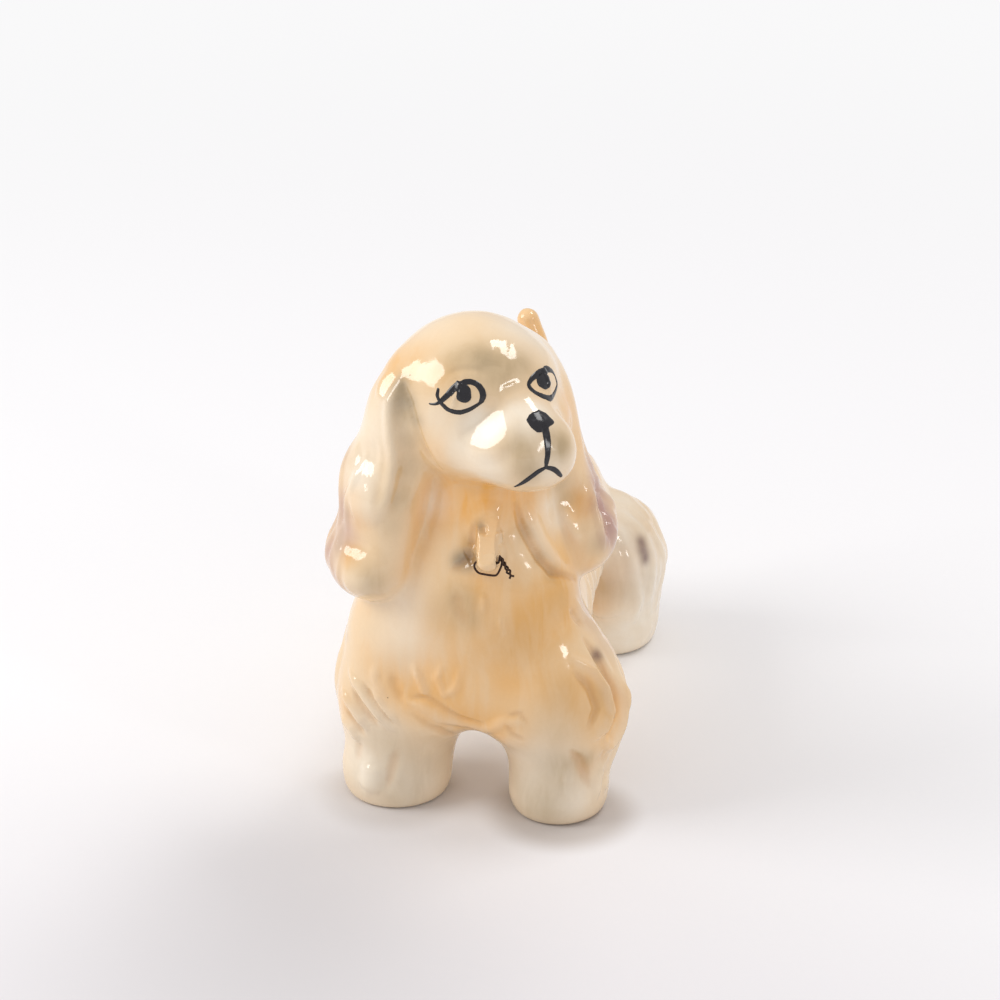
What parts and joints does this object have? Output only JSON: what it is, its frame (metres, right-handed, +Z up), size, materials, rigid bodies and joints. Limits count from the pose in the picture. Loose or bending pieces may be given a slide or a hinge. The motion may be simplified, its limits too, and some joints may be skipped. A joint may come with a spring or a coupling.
{
  "type": "ceramic dog figurine",
  "caption": "Hollow glazed standing spaniel figurine with its head turned, long ears, a docked tail, and a thin wire ring swinging in a pierced lug on its chest.",
  "frame": {"origin": "middle of the figure's footprint box, on the plane of the four soles", "axes": "+Z up; the dog faces -Y; +X is the dog's own left"},
  "size_m": [0.0544, 0.0993, 0.0965],
  "materials": {
    "glaze_body": "gloss",
    "glaze_face": "gloss",
    "glaze_ear": "gloss",
    "enamel": "gloss",
    "wire": "dark, tarnished"
  },
  "bodies": {
    "figure": {"body_casting": "glaze_body", "head_casting": "glaze_face", "left_ear": "glaze_ear", "right_ear": "glaze_ear", "tail": "glaze_body", "chest_lug": "glaze_body", "nose_enamel": "enamel", "mouth_enamel": "enamel", "left_eye_enamel": "enamel", "left_pupil_enamel": "enamel", "right_eye_enamel": "enamel", "right_pupil_enamel": "enamel"},
    "ring": {"wire_ring": "wire"}
  },
  "joints": [
    {"name": "ring_swing", "type": "hinge", "parent": "figure", "child": "ring", "pos_m": [0.004, -0.04625, 0.05595], "axis": [-1, 0, 0], "range_deg": [-8, 130]}
  ]
}
